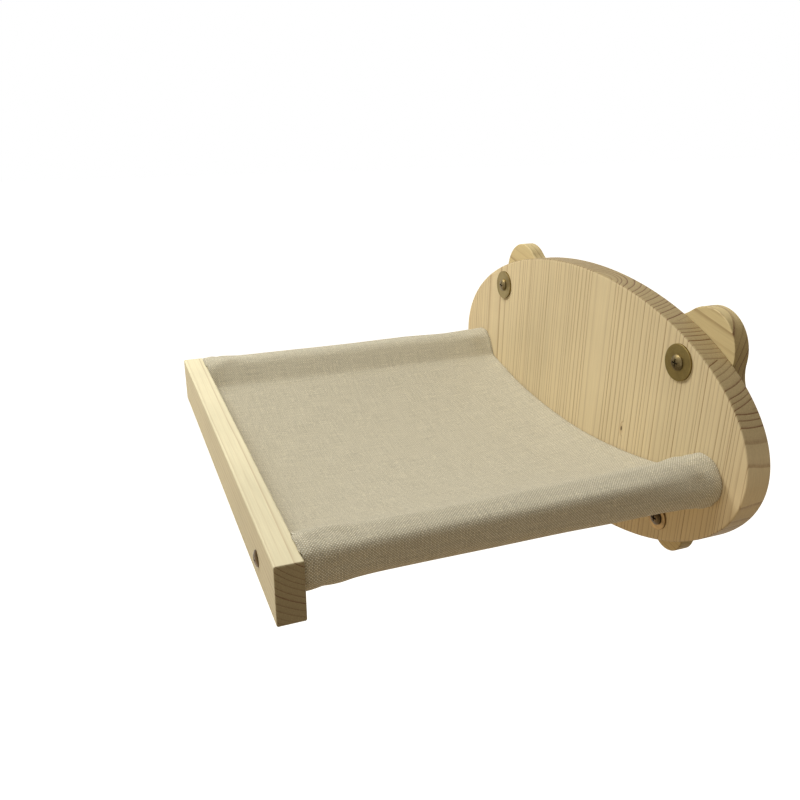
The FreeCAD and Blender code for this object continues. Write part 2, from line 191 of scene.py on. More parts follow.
@dataclass(frozen=True)
class PineFinish(Finish):
    """Sanded bare pine: pale earlywood, thin amber latewood lines and darker end grain.

    The pattern is solid. Growth rings are tubes round a pith line that runs with the fibres, so
    the lines of the face carry on over the edges, and cut ends show arcs. A glued board has one
    pith for each of its staves. Lengths in millimetres. A speed is how fast a pattern changes
    along each axis, and a shade is the least and the most that a pattern multiplies by.
    """

    run: GrainRun
    lean: float
    pith: Triple
    ring_width: float
    early: str
    late: str
    line_strength: float
    end_lines: float
    end_tint: Triple
    wander: float = 3.0
    knots: tuple[Knot, ...] = ()
    staves: tuple[Stave, ...] = (Stave(-1000.0, 0.0, 0.0),)
    wander_speed: Triple = (14.0, 14.0, 2.2)
    ring_unevenness: float = 2.1
    ring_profile: tuple[Span, ...] = (
        (0.0, 0.02), (0.55, 0.06), (0.76, 0.26), (0.87, 0.90), (0.95, 1.0), (0.995, 0.02))
    ring_shade: Span = (0.25, 1.0)
    fibre_speed: Triple = (820.0, 820.0, 22.0)
    fibre_shade: Span = (1.02, 0.93)
    line_breaks: Span = (0.78, 1.12)
    patch_shade: Span = (0.95, 1.04)
    stave_shade: Span = (0.965, 1.03)
    pore_shade: Span = (0.85, 1.1)
    end_grain_from: Span = (0.12, 0.75)
    knot_push: float = 4.0
    knot_reach: Span = (4.2, 0.9)
    knot_edge: Span = (1.5, 1.15)
    knot_halo: str = "#A9793F"
    halo_strength: float = 0.35
    knot_heart: str = "#3E2A18"
    roughness: Span = (0.66, 0.52)
    relief: float = 0.12

    def surface(self) -> bpy.types.Node:
        """Build the wood's patterns and its shader.

        Returns:
            The shader's node.
        """
        places = self.add("TexCoord").outputs
        turn = math.radians(self.run.value + self.lean)
        local = self.add("Mapping", places["Object"], [at * MM for at in self.pith],
                         (0.0, turn, 0.0), vector_type="TEXTURE")
        radius, tone = self._ring_radius(local)
        near, core = self._knot_masks(places["Object"])
        late, fibre = self._growth_lines(local, radius, near)
        along = (math.sin(turn), 0.0, math.cos(turn))
        facing = self.add("VectorMath.DOT_PRODUCT", places["Normal"], along)
        size = self.add("Math.ABSOLUTE", facing)
        end = self.add("MapRange", size, *self.end_grain_from, interpolation_type="SMOOTHSTEP")
        bare = self._bare_colour(local, late, fibre, tone, end)
        halo_share = self.add("Math.MULTIPLY", near, self.halo_strength)
        halo = self.add("Mix", halo_share, bare, self.knot_halo, data_type="RGBA")
        colour = self.add("Mix", core, halo, self.knot_heart, data_type="RGBA")
        rough = self.add("MapRange", late, 0.0, 1.0, *self.roughness)
        height = self.add("Math.ADD", late, fibre)
        bump = self.add("Bump", Height=height, Strength=0.35, Distance=self.relief * MM)
        return self.add("BsdfPrincipled", **{
            "Base Color": colour, "Roughness": rough, "IOR": 1.5, "Specular IOR Level": 0.35,
            "Normal": bump})

    def _ring_radius(self, local: Pattern) -> tuple[Pattern, Pattern]:
        """Distance from the stave's pith, in metres, with a slow wander.

        Args:
            local: Coordinates round the finish's own origin, with the fibres along Z.

        Returns:
            The distance, and a random number for each stave.
        """
        slow = self.add("VectorMath.MULTIPLY", local, self.wander_speed)
        drift = self.add("TexNoise", slow, 1.0, 2.0).outputs["Color"]
        centred = self.add("VectorMath.SUBTRACT", drift, (0.5, 0.5, 0.5))
        spread = self.add("VectorMath.SCALE", centred, 2 * self.wander * MM)
        moved = self.add("VectorMath.ADD", local, spread)
        across = self.add("SeparateXYZ", local)
        pith: Any = self.staves[0].pith
        number: Any = 0.0
        for stave in self.staves[1:]:
            beyond = self.add("Math.GREATER_THAN", across, stave.left * MM)
            pith = self.add("Mix", beyond, pith, stave.pith, data_type="VECTOR")
            number = self.add("Math.ADD", number, beyond)
        from_pith = self.add("VectorMath.SUBTRACT", moved, pith)
        flat = self.add("VectorMath.MULTIPLY", from_pith, (1.0, 1.0, 0.0))
        length = self.add("VectorMath.LENGTH", flat)
        return length, self.add("TexWhiteNoise", number, noise_dimensions="1D")

    def _growth_lines(self, local: Pattern, radius: Pattern, near: Any) -> tuple[Pattern, Pattern]:
        """The latewood lines and the fine fibre streaks.

        Args:
            local: Coordinates round the pith, with the fibres along Z.
            radius: Distance from the pith, in metres.
            near: How near a knot is, from 0 to 1, which bends the lines round it.

        Returns:
            How far each point is latewood, and how dark its fibre is, both from 0 to 1.
        """
        pushed = self.add("Math.MULTIPLY_ADD", near, self.knot_push * MM, radius)
        uneven = self.add("TexNoise", pushed, 55.0, 1.0, noise_dimensions="1D")
        rings = self.add("Math.DIVIDE", pushed, self.ring_width * MM)
        count = self.add("Math.MULTIPLY_ADD", uneven, self.ring_unevenness, rings)
        share = self.add("Math.FRACT", count)
        number = self.add("Math.FLOOR", count)
        profile = self.add("ValToRGB", share, stops=self.ring_profile)
        chance = self.add("TexWhiteNoise", number, noise_dimensions="1D")
        weight = self.add("MapRange", chance, 0.0, 1.0, *self.ring_shade)
        late = self.add("Math.MULTIPLY", profile, weight)
        fine = self.add("VectorMath.MULTIPLY", local, self.fibre_speed)
        streaks = self.add("TexNoise", fine, 1.0, 3.0, 0.65)
        return late, self.add("ValToRGB", streaks, stops=((0.34, 0.0), (0.70, 1.0)))

    def _knot_masks(self, place: Pattern) -> tuple[Any, Any]:
        """How near the nearest knot is, and how far a point lies in one.

        Args:
            place: Object coordinates.

        Returns:
            A wide soft mask and a narrow sharp one, both from 0 to 1.
        """
        near: Any = 0.0
        core: Any = 0.0
        for knot in self.knots:
            offset = self.add("VectorMath.SUBTRACT", place, (knot.x * MM, 0.0, knot.z * MM))
            size = (1 / (knot.half_width * MM), 0.0, 1 / (knot.half_height * MM))
            unit = self.add("VectorMath.MULTIPLY", offset, size)
            distance = self.add("VectorMath.LENGTH", unit)
            ripple = self.add("TexNoise", place, 260.0, 2.0)
            rough = self.add("Math.MULTIPLY_ADD", ripple, 0.8, distance)
            depth = self.add("SeparateXYZ", place).outputs["Y"]
            before = self.add("Math.LESS_THAN", depth, knot.end_y * MM)
            wide, tight = [self.add("MapRange", rough, *span, interpolation_type="SMOOTHSTEP")
                           for span in (self.knot_reach, self.knot_edge)]
            seen = self.add("Math.MULTIPLY", tight, before)
            near = self.add("Math.MAXIMUM", near, wide)
            core = self.add("Math.MAXIMUM", core, seen)
        return near, core

    def _bare_colour(self, local: Pattern, late: Pattern, fibre: Pattern, tone: Pattern,
                     end: Pattern) -> Pattern:
        """The colour of the wood from its patterns, before its knots.

        Args:
            local: Coordinates round the pith, with the fibres along Z.
            late: How far each point is latewood.
            fibre: How dark its fibre is.
            tone: A random number for each strip.
            end: How far the surface cuts across the fibres.

        Returns:
            The colour.
        """
        breaks = [self.line_strength * level for level in self.line_breaks]
        broken = self.add("MapRange", fibre, 0.0, 1.0, *breaks)
        strength = self.add("Math.MULTIPLY", late, broken)
        grown = self.add("Math.MULTIPLY_ADD", end, self.end_lines - 1, 1.0)
        lines = self.add("Math.MULTIPLY", strength, grown, use_clamp=True)
        bare = self.add("Mix", lines, self.early, self.late, data_type="RGBA")
        large = self.add("TexNoise", local, 14.0, 2.0)
        shade = self.add("MapRange", large, *NOISE_SPAN, *self.patch_shade)
        for pattern, levels in ((tone, self.stave_shade), (fibre, self.fibre_shade)):
            level = self.add("MapRange", pattern, 0.0, 1.0, *levels)
            shade = self.add("Math.MULTIPLY", shade, level)
        bright = self.add("VectorMath.SCALE", bare, shade)
        pores = self.add("TexNoise", local, 1500.0, 1.0)
        pore = self.add("MapRange", pores, *NOISE_SPAN, *self.pore_shade)
        cut = self.add("VectorMath.MULTIPLY", bright, self.end_tint)
        dark = self.add("VectorMath.SCALE", cut, pore)
        return self.add("Mix", end, bright, dark, data_type="RGBA")


@dataclass(frozen=True)
class CanvasFinish(Finish):
    """Plain-woven pale canvas, matt, slubby and faintly fuzzy, with painted light and shade.

    The threads of such cloth lie about 0.5 mm apart. They are drawn 0.95 mm apart, so that the
    weave shows in a picture of the whole hammock. The pattern counts threads on the cloth's own
    metric UV map. Crossings with the warp on top are painted lighter and those with the weft on top
    darker, as painted light and shade, and the gaps between threads get a painted shade.
    """

    thread_pitch: float = 0.95 * MM
    # The first two colours are painted light and shade on the crossings: lighter where the warp is
    # on top, darker where the weft is. The third is a painted shade in the gaps between threads.
    lit_warp: str = "#FFFDF1"
    shaded_weft: str = "#D1C9B1"
    gap_shade: str = "#A59D86"
    sway: float = 2.2
    slub_shade: Span = (0.87, 1.11)
    nub_shade: Span = (0.82, 1.16)
    relief: float = 0.22 * MM

    def surface(self) -> bpy.types.Node:
        """Build the weave, its uneven yarns and its shader.

        Returns:
            The shader's node.
        """
        flat = self.add("UVMap", uv_map="cloth")
        scaled = self.add("VectorMath.SCALE", flat, 1 / self.thread_pitch)
        drift = self.add("TexNoise", flat, 30.0, 1.0).outputs["Color"]
        sway = self.add("VectorMath.SCALE", drift, self.sway)
        threads = self.add("VectorMath.ADD", scaled, sway)
        height, on_top = self._weave(threads)
        slubs = []
        for stretch in ((1.0, 0.035, 0.0), (0.035, 1.0, 0.0)):
            drawn = self.add("VectorMath.MULTIPLY", threads, stretch)
            slubs.append(self.add("TexNoise", drawn, 1.0, 2.0))
        both = self.add("Math.ADD", *slubs)
        tone = self.add("MapRange", both, 0.7, 1.3, *self.slub_shade)
        nubs = self.add("TexNoise", threads, 1.1, 2.0, 0.6)
        nub = self.add("MapRange", nubs, 0.34, 0.66, *self.nub_shade)
        speckled = self.add("Math.MULTIPLY", tone, nub)
        # Painted light and shade: crossings with the warp on top are lighter, crossings with the
        # weft on top are darker.
        yarn_lit_and_shaded = self.add("Mix", on_top, self.lit_warp, self.shaded_weft, data_type="RGBA")
        # Painted shade in the low gaps between the threads.
        woven = self.add("Mix", height, self.gap_shade, yarn_lit_and_shaded, data_type="RGBA")
        cloth = self.add("VectorMath.SCALE", woven, speckled)
        lift = self.add("Math.MULTIPLY_ADD", nub, 0.8, height)
        bump = self.add("Bump", Height=lift, Strength=0.7, Distance=self.relief)
        return self.add("BsdfPrincipled", **{
            "Base Color": cloth, "Roughness": 0.92, "IOR": 1.45, "Specular IOR Level": 0.25,
            "Diffuse Roughness": 0.5, "Sheen Weight": 0.18, "Sheen Roughness": 0.5,
            "Normal": bump})

    def _weave(self, threads: Pattern) -> tuple[Pattern, Pattern]:
        """The height of a plain weave and which of its yarns lies on top.

        Args:
            threads: Coordinates that count threads across and along.

        Returns:
            The height, from 0 in the gaps to 1 on the threads, and 1 where the weft is on top.
        """
        place = self.add("SeparateXYZ", threads).outputs
        crowns, cells = [], []
        for axis in ("X", "Y"):
            angle = self.add("Math.MULTIPLY", place[axis], math.pi)
            wave = self.add("Math.SINE", angle)
            crowns.append(self.add("Math.ABSOLUTE", wave))
            cells.append(self.add("Math.FLOOR", place[axis]))
        both = self.add("Math.ADD", *cells)
        half = self.add("Math.MULTIPLY", both, 0.5)
        over = self.add("Math.FRACT", half)
        upper = self.add("Math.GREATER_THAN", over, 0.25)
        raised = []
        for crown, crossed in (crowns, crowns[::-1]):
            ease = self.add("Math.MULTIPLY_ADD", crossed, 0.45, 0.55)
            raised.append(self.add("Math.MULTIPLY", crown, ease))
        return self.add("Mix", upper, *raised), upper


@dataclass(frozen=True)
class ThreadFinish(Finish):
    """Twisted cotton sewing thread: paler than the canvas, with a soft shine and painted shade in
    its grooves.
    """

    colour: str = "#CFC7AC"
    # A painted shade for the low grooves of the twist.
    groove_shade: str = "#B5AB8C"

    def surface(self) -> bpy.types.Node:
        """Build the twist, its painted shade in the grooves, and its shader.

        Returns:
            The shader's node.
        """
        place = self.add("TexCoord").outputs["Object"]
        twist = self.add("TexWave", place, 900.0, 1.0, bands_direction="DIAGONAL").outputs["Fac"]
        # Painted shade: the low grooves of the twist are darker.
        strands_with_groove_shade = self.add("ValToRGB", twist, stops=((0.0, self.groove_shade), (0.7, self.colour)))
        bump = self.add("Bump", Height=twist, Strength=0.5, Distance=0.08 * MM)
        return self.add("BsdfPrincipled", **{
            "Base Color": strands_with_groove_shade, "Roughness": 0.6, "Sheen Weight": 0.2, "Normal": bump})


class Plating(Enum):
    """The metal finishes, each with its base, its worn and its tarnished colour."""

    ANTIQUE_BRASS = ("#8A794B", "#9C895A", "#6E5D36")
    YELLOW_ZINC = ("#8E7248", "#A98D60", "#67502F")
    WORN_BRONZE = ("#7D6D4A", "#AD9F7B", "#4B3E28")
    DARK_BRONZE = ("#57442A", "#80693F", "#302313")
    WHITE_ZINC = ("#B4B6B5", "#DADBD8", "#7C7E7C")
    TURNED_BRASS = ("#C9A55A", "#E8CF8E", "#86692F")


@dataclass(frozen=True)
class PlatedFinish(Finish):
    """Plated or turned metal with lathe marks round its own axis, rubbed bright in small specks."""

    plating: Plating
    roughness: float
    centre: Vector
    relief: float = 0.05 * MM

    def surface(self) -> bpy.types.Node:
        """Build the lathe marks, the tarnish, the rubbed specks and the shader.

        Returns:
            The shader's node.
        """
        base, worn, tarnished = self.plating.value
        place = self.add("TexCoord").outputs["Object"]
        axis = (self.centre.x, 0.0, self.centre.z)
        centred = self.add("VectorMath.SUBTRACT", place, axis)
        disc = self.add("VectorMath.MULTIPLY", centred, (1.0, 0.0, 1.0))
        radius = self.add("VectorMath.LENGTH", disc)
        marks = self.add("TexNoise", radius, 3800.0, 2.0, noise_dimensions="1D")
        clouds = self.add("TexNoise", place, 75.0, 3.0)
        tarnish = self.add("ValToRGB", clouds, stops=((0.38, 0.0), (0.66, 0.8)))
        specks = self.add("TexNoise", place, 900.0, 2.0)
        rubbed = self.add("ValToRGB", specks, stops=((0.55, 0.0), (0.80, 0.5)))
        aged = self.add("Mix", tarnish, base, tarnished, data_type="RGBA")
        bright = self.add("Mix", rubbed, aged, worn, data_type="RGBA")
        rough = self.add("MapRange", clouds, *NOISE_SPAN, self.roughness - 0.08,
                         self.roughness + 0.12)
        height = self.add("Math.ADD", marks, clouds)
        bump = self.add("Bump", Height=height, Strength=0.22, Distance=self.relief)
        return self.add("BsdfPrincipled", **{
            "Base Color": bright, "Metallic": 1.0, "Roughness": rough, "Normal": bump})


def dress(node: str, finish: Finish) -> None:
    """Give a carried-over CAD node its finish.

    Args:
        node: The node's name.
        finish: What its slots get.
    """
    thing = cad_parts[node]
    if not thing.material_slots:
        thing.data.materials.append(finish.material)
    for slot in thing.material_slots:
        slot.material = finish.material
    log.info("dressed %s in %s", node, finish.name)


def middle(node: str) -> Vector:
    """The centre of a CAD node's box."""
    low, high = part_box(node)
    return (low + high) / 2


def add_object(name: str, data: Any) -> bpy.types.Object:
    """Put a mesh, a lamp or a camera in the scene.

    Args:
        name: The object's name.
        data: What it holds.

    Returns:
        The new object.
    """
    thing = bpy.data.objects.new(name, data)
    bpy.context.scene.collection.objects.link(thing)
    return thing


def add_piece(name: str, shape: bmesh.types.BMesh, finish: Finish,
              smooth: bool = True) -> bpy.types.Object:
    """Make an object of the hammock from a bmesh, which is freed.

    Args:
        name: The piece's name.
        shape: Its mesh, in place.
        finish: Its finish.
        smooth: Whether its faces are shaded smooth.

    Returns:
        The new object, which rides on the hammock's one body.
    """
    for face in shape.faces:
        face.smooth = smooth
    mesh = bpy.data.meshes.new(name)
    shape.to_mesh(mesh)
    shape.free()
    mesh.materials.append(finish.material)
    piece = add_object(name, mesh)
    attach(piece, BODY)
    log.info("made %s with %d faces", name, len(mesh.polygons))
    return piece


@dataclass
class Woodwork:
    """The oval front board, the eared rear board, the flat rail and the two round arms."""

    front: PineFinish = PineFinish(
        name="sanded_pine_front_board", run=GrainRun.UPRIGHT, lean=1.0, pith=(0.0, 0.0, 0.0),
        ring_width=4.4, early="#DFCEA8", late="#8C6438", line_strength=0.88, end_lines=1.8,
        end_tint=(0.59, 0.55, 0.46), wander=2.5, knots=(Knot(75.7, -10.8, 0.9, 2.3, -20.0),),
        staves=(Stave(-1000.0, -100.0, 10.0), Stave(-204.0, -30.0, -45.0),
                Stave(-164.0, -152.0, -58.0), Stave(-124.0, -214.0, 33.0),
                Stave(-84.0, -214.0, -52.0), Stave(-44.0, 114.0, -64.0), Stave(-8.0, 32.0, -46.0),
                Stave(115.0, -24.0, -9.0), Stave(156.0, 56.0, -66.0), Stave(190.0, 60.0, -22.0)))
    rear: PineFinish = PineFinish(
        name="sanded_pine_rear_board", run=GrainRun.ACROSS, lean=12.0, pith=(0.0, 38.0, 88.0),
        ring_width=4.6, early="#D6C495", late="#856138", line_strength=0.62, end_lines=2.2,
        end_tint=(0.60, 0.56, 0.47), wander=4.0, knots=(Knot(-58.0, 31.0, 5.0, 6.0, 5.0),))
    rail: PineFinish = PineFinish(
        name="planed_pine_rail", run=GrainRun.ACROSS, lean=0.5, pith=(0.0, -294.0, 56.0),
        ring_width=3.6, early="#E0D8B9", late="#9C7A4C", line_strength=0.50, end_lines=2.9,
        end_tint=(0.44, 0.385, 0.30))
    arms: PineFinish = PineFinish(
        name="turned_beech", run=GrainRun.ACROSS, lean=0.0, pith=(0.0, 0.0, 40.0), ring_width=2.4,
        early="#D8C49A", late="#B39062", line_strength=0.35, end_lines=1.2,
        end_tint=(0.72, 0.66, 0.55))

    def build(self) -> None:
        """Give the five pieces their wood."""
        for node, finish in (("front_board", self.front), ("rear_board", self.rear),
                             ("front_rail", self.rail), ("dowel_left", self.arms),
                             ("dowel_right", self.arms)):
            dress(node, finish)


class ClothEnd(Enum):
    """The two free ends of the canvas."""

    BOARD = "board"
    RAIL = "rail"

    def place(self, inward: float, length: float) -> float:
        """Turn a distance from this end of the canvas into one from the board end."""
        return inward if self is ClothEnd.BOARD else length - inward


def interval(values: list[float], value: float) -> tuple[int, float]:
    """Find which interval of a rising list a value lies in or next to.

    Args:
        values: The list.
        value: What to look for.

    Returns:
        The interval's number, and how far along it the value lies, from 0 to 1 inside.
    """
    after = min(max(bisect_left(values, value), 1), len(values) - 1)
    low, high = values[after - 1:after + 1]
    return after - 1, (value - low) / (high - low)


@dataclass
class ClothGrid:
    """The settled cloth's middle surface, read by column and by distance from the board end."""

    points: list[list[Vector]]
    rows: list[float]
    across: list[float]

    @classmethod
    def read(cls, cloth: bpy.types.Object, rows: list[float]) -> "ClothGrid":
        """Read the grid back from the strip's vertices.

        Args:
            cloth: The strip.
            rows: Its rows, by distance from the board end.

        Returns:
            The grid.
        """
        layer = cloth.data.uv_layers["cloth"].data
        flat = {loop.vertex_index: [round(at, 7) for at in layer[loop.index].uv]
                for loop in cloth.data.loops}
        across, along = [sorted({place[axis] for place in flat.values()}) for axis in (0, 1)]
        points = [[Vector()] * len(across) for _ in along]
        for vertex in cloth.data.vertices:
            from_left, from_board = flat[vertex.index]
            points[along.index(from_board)][across.index(from_left)] = vertex.co.copy()
        return cls(points, rows, across)

    @property
    def last(self) -> int:
        """The number of the last column."""
        return len(self.across) - 1

    def column_at(self, flat: float) -> float:
        """The column, with its fraction, at a distance across the cut cloth."""
        return sum(interval(self.across, min(max(flat, 0.0), self.across[-1])))

    def flat_at(self, column: float) -> float:
        """The distance across the cut cloth of a column with its fraction."""
        left = min(int(column), self.last - 1)
        return self.across[left] + (column - left) * (self.across[left + 1] - self.across[left])

    def surface(self, column: float, place: float) -> Vector:
        """A point of the middle surface, carried on straight beyond its ends.

        Args:
            column: The column, with its fraction.
            place: The distance from the board end.

        Returns:
            The point.
        """
        row, down = interval(self.rows, place)
        left = min(int(column), self.last - 1)
        upper, lower = [points[left].lerp(points[left + 1], column - left)
                        for points in self.points[row:row + 2]]
        return upper + (lower - upper) * down

    def normal(self, column: float, place: float) -> Vector:
        """The outer face's direction: up on the panel and away from the arm on a sleeve.

        Args:
            column: The column, with its fraction.
            place: The distance from the board end.

        Returns:
            The direction.
        """
        step = 1.5 * MM
        inside = min(max(place, step), self.rows[-1] - step)
        flat = self.flat_at(column)
        left, right = [self.surface(self.column_at(flat + side), inside) for side in (-step, step)]
        back, front = [self.surface(column, inside + side) for side in (-step, step)]
        return (front - back).cross(right - left).normalized()

    def point(self, column: float, place: float, lift: float) -> Vector:
        """A point that stands off the middle surface by a lift."""
        return self.surface(column, place) + self.normal(column, place) * lift


def cloth_mesh(points: list[list[Vector]], across: list[float],
               along: list[float]) -> bmesh.types.BMesh:
    """Lay an open grid through rows of points, with a metric UV map.

    Args:
        points: The rows, from the board to the rail.
        across: How far across the flat cloth each column lies.
        along: How far along it each row lies.

    Returns:
        The mesh.
    """
    columns, rows = len(across) - 1, len(along) - 1
    shape = bmesh.new()
    bmesh.ops.create_grid(shape, x_segments=columns, y_segments=rows, size=0.5)
    layer = shape.loops.layers.uv.new("cloth")
    for vertex in shape.verts:
        column, row = round((vertex.co.x + 0.5) * columns), round((0.5 - vertex.co.y) * rows)
        for loop in vertex.link_loops:
            loop[layer].uv = (across[column], along[row])
        vertex.co = points[row][column]
    return shape


def modify(piece: bpy.types.Object, kind: str, **settings: Any) -> None:
    """Add a modifier with its settings.

    Args:
        piece: What it changes.
        kind: The modifier's type.
        **settings: Its own properties.
    """
    modifier = piece.modifiers.new(kind.lower(), kind)
    for setting, value in settings.items():
        setattr(modifier, setting, value)


@dataclass
class Sling:
    """The canvas: a sagging panel, a sleeve round each arm, turned hems and sewn seams.

    It is one strip of cloth, cut flat. Columns run across it, from the cut edge under the left
    seam to the one under the right seam, and rows run from the board to the rail. A share is a
    place from the board, 0, to the rail, 1.
    """

    thickness: float = 0.8 * MM
    clearance: float = 0.2 * MM
    end_gap: float = 0.15 * MM
    seam_from_dowel: float = 24.5 * MM
    seam_below_dowel: float = 3.5 * MM
    seam_allowance: float = 12.0 * MM
    edge_sag: float = 22.0 * MM
    middle_sag: float = 29.5 * MM
    hem_width: float = 14.0 * MM
    hem_fade: float = 18.0 * MM
    hem_stitch_from_edge: float = 11.5 * MM
    seam_stitch_from_seam: float = 5.0 * MM
    stitch_pitch: float = 3.2 * MM
    stitch_length: float = 2.5 * MM
    stitch_radius: float = 0.18 * MM
    under_hem: float = -1.5
    under_seam: float = -1.6
    seam_stitches_from_end: float = 2.0 * MM
    board_end_swell: float = 1.5 * MM
    swell_rise: Span = (0.35, 1.0)
    unevenness: float = 0.35 * MM
    ridge_angle: float = 39.0
    ridge_power: float = 7.0
    ridge_rise: Span = (0.02, 0.30)
    pucker_height: float = 2.2 * MM
    pucker_length: float = 13.0 * MM
    pucker_reach: float = 45.0 * MM
    stitch_dent: float = 2.6 * MM
    lip_from: float = 1.3 * MM
    lip_full: float = 3.0 * MM
    lip_reach: float = 1.4 * MM
    lip_drop: float = 2.0 * MM
    lip_length: float = 4.0 * MM
    panel_columns: int = 60
    arc_columns: int = 38
    straight_columns: int = 4
    allowance_columns: int = 3
    row_spacing: float = 5.0 * MM
    tight_reach: float = 30.0 * MM
    hang_frames: int = 25
    hang_gravity: float = 0.35
    canvas: Finish = CanvasFinish("woven_canvas")
    sewing: Finish = ThreadFinish("cotton_sewing_thread")
    radius: float = field(init=False)
    dowel: Vector = field(init=False)
    seam: Vector = field(init=False)
    back_y: float = field(init=False)
    front_y: float = field(init=False)
    rail_top: float = field(init=False)
    rows: list[float] = field(init=False)
    grid: ClothGrid = field(init=False)

    def __post_init__(self) -> None:
        """Read the arms' places from the frame and set out the seams and rows."""
        low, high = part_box("dowel_right")
        self.dowel = (low + high) / 2
        self.radius = (high.x - low.x) / 2 + self.clearance + self.thickness / 2
        self.seam = Vector((self.dowel.x - self.seam_from_dowel, 0.0,
                            self.dowel.z - self.seam_below_dowel))
        self.back_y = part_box("front_board")[0].y - self.end_gap - self.thickness
        rail_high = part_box("front_rail")[1]
        self.front_y = rail_high.y + self.end_gap + self.thickness
        self.rail_top = rail_high.z
        near_edge = [0.0, 3 * MM, 6 * MM, 9 * MM, self.hem_stitch_from_edge, self.hem_width,
                     self.hem_fade]
        length = self.back_y - self.front_y
        span = length - 2 * self.hem_fade
        count = round(span / self.row_spacing)
        inner = [self.hem_fade + span * index / count for index in range(1, count)]
        self.rows = near_edge + inner + [length - place for place in reversed(near_edge)]

    def build(self) -> None:
        """Make the sling with its hems and stitches, in place of the plain solid."""
        cloth = add_piece("sling_canvas", self.strip(), self.canvas)
        self.settle(cloth)
        self.grid = ClothGrid.read(cloth, self.rows)
        modify(cloth, "SUBSURF", levels=1, render_levels=1)
        walls = {"thickness": self.thickness, "offset": 0.0, "use_even_offset": True}
        modify(cloth, "SOLIDIFY", **walls)
        extras = []
        for end in ClothEnd:
            hem = add_piece("sling_hem_at_" + end.value, self.hem(end), self.canvas)
            modify(hem, "SOLIDIFY", **walls)
            sewn = self.stitches(self.hem_spots(end), along_rows=False)
            extras += [hem, add_piece("hem_stitches_at_" + end.value, sewn, self.sewing)]
        for side, across in zip(SIDES, (-1, 1)):
            sewn = self.stitches(self.seam_spots(across), along_rows=True)
            extras.append(add_piece("seam_stitches_" + side, sewn, self.sewing))
        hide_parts("fabric_sling")

    def panel_height(self, x: float, share: float) -> float:
        """How high the panel lies at one place across and one share of its length."""
        sag = self.edge_sag + (self.middle_sag - self.edge_sag) * math.sin(math.pi * share)
        return self.seam.z - sag * (1 - (x / self.seam.x) ** 2)

    def sleeve(self, share: float, hem: float) -> list[Vector]:
        """The right sleeve's outline at one depth, from the seam over the top and back to it.

        Args:
            share: Where along the arm.
            hem: How far the doubled hem lifts the cloth, in metres.

        Returns:
            Points in the XZ plane, with the seam allowance last.
        """
        centre = Vector((self.dowel.x, 0.0, self.dowel.z))
        radius = self.radius + hem + self.board_end_swell * smooth_step(1 - share, *self.swell_rise)
        inward = self.seam - centre
        toward = math.atan2(inward.z, inward.x) % math.tau
        opening = math.acos(min(radius / inward.length, 1.0))
        first, last = toward - opening, toward + opening - math.tau
        arc = []
        for index in range(self.arc_columns + 1):
            angle = first + (last - first) * index / self.arc_columns
            out = Vector((math.cos(angle), 0.0, math.sin(angle)))
            uneven = self.unevenness * noise.noise(Vector((out.x, out.z, share * 5.0)))
            reach = radius + uneven + self.ridge(math.degrees(angle), share) * radius
            arc.append(centre + out * (reach + self.puckers(angle, share)))
        steps = [index / self.straight_columns for index in range(1, self.straight_columns)]
        under = self.seam - Vector((0.0, 0.0, self.thickness))
        up = [self.seam.lerp(arc[0], step) for step in steps]
        down = [arc[-1].lerp(under, step) for step in steps]
        allowance = []
        for index in range(1, self.allowance_columns + 1):
            x = self.seam.x - self.seam_allowance * index / self.allowance_columns
            height = self.panel_height(x, share) - 1.06 * self.thickness
            allowance.append(Vector((x, 0.0, height)))
        return up + arc + down + [under] + allowance

    def ridge(self, angle: float, share: float) -> float:
        """How far the loose cloth of a sleeve stands off along its soft upper outer ridge.

        The sleeve lies flat above and beside the ridge, as on a square bar with a round corner.

        Args:
            angle: The place round the arm, in degrees from straight out to the side.
            share: Where along the arm.

        Returns:
            The extra reach, as a share of the sleeve's radius.
        """
        from_flat = (angle - self.ridge_angle + 45.0) % 360.0
        if from_flat >= 90.0:
            return 0.0
        turn = math.radians(from_flat)
        powers = math.cos(turn) ** self.ridge_power + math.sin(turn) ** self.ridge_power
        return (powers ** (-1 / self.ridge_power) - 1) * smooth_step(share, *self.ridge_rise)

    def puckers(self, angle: float, share: float) -> float:
        """How far the cloth puffs up beside the hem stitches, at both ends of a sleeve.

        Args:
            angle: The place round the arm, in radians.
            share: Where along the arm.

        Returns:
            The extra reach.
        """
        length = self.rows[-1]
        from_edge = min(share, 1 - share) * length
        place = Vector((2.2 * math.cos(angle), 2.2 * math.sin(angle),
                        share * length / self.pucker_length))
        puff = 0.5 + 0.8 * noise.noise(place)
        stitched = math.exp(-((from_edge - self.hem_stitch_from_edge) / self.stitch_dent) ** 2)
        fade = 1 - smooth_step(from_edge, self.hem_width, self.pucker_reach)
        return self.pucker_height * max(puff, 0.0) * fade * (1 - 0.9 * stitched)

    def section(self, share: float, hem: float) -> list[Vector]:
        """The whole strip's outline at one depth, from left to right.

        Args:
            share: Where along the arms.
            hem: How far the doubled hem lifts the sleeves, in metres.

        Returns:
            Points in the XZ plane.
        """
        right = self.sleeve(share, hem)
        left = [Vector((-point.x, 0.0, point.z)) for point in reversed(right)]
        places = [self.seam.x * (2 * index / self.panel_columns - 1)
                  for index in range(self.panel_columns + 1)]
        return left + [Vector((x, 0.0, self.panel_height(x, share))) for x in places] + right

    def hem_lift(self, place: float) -> float:
        """How far the turned hem lifts the outer cloth.

        Args:
            place: The distance from the board end.

        Returns:
            The lift.
        """
        from_edge = min(place, self.rows[-1] - place)
        flat = smooth_step(from_edge, self.hem_stitch_from_edge, self.hem_fade)
        return self.thickness * (1 - flat)

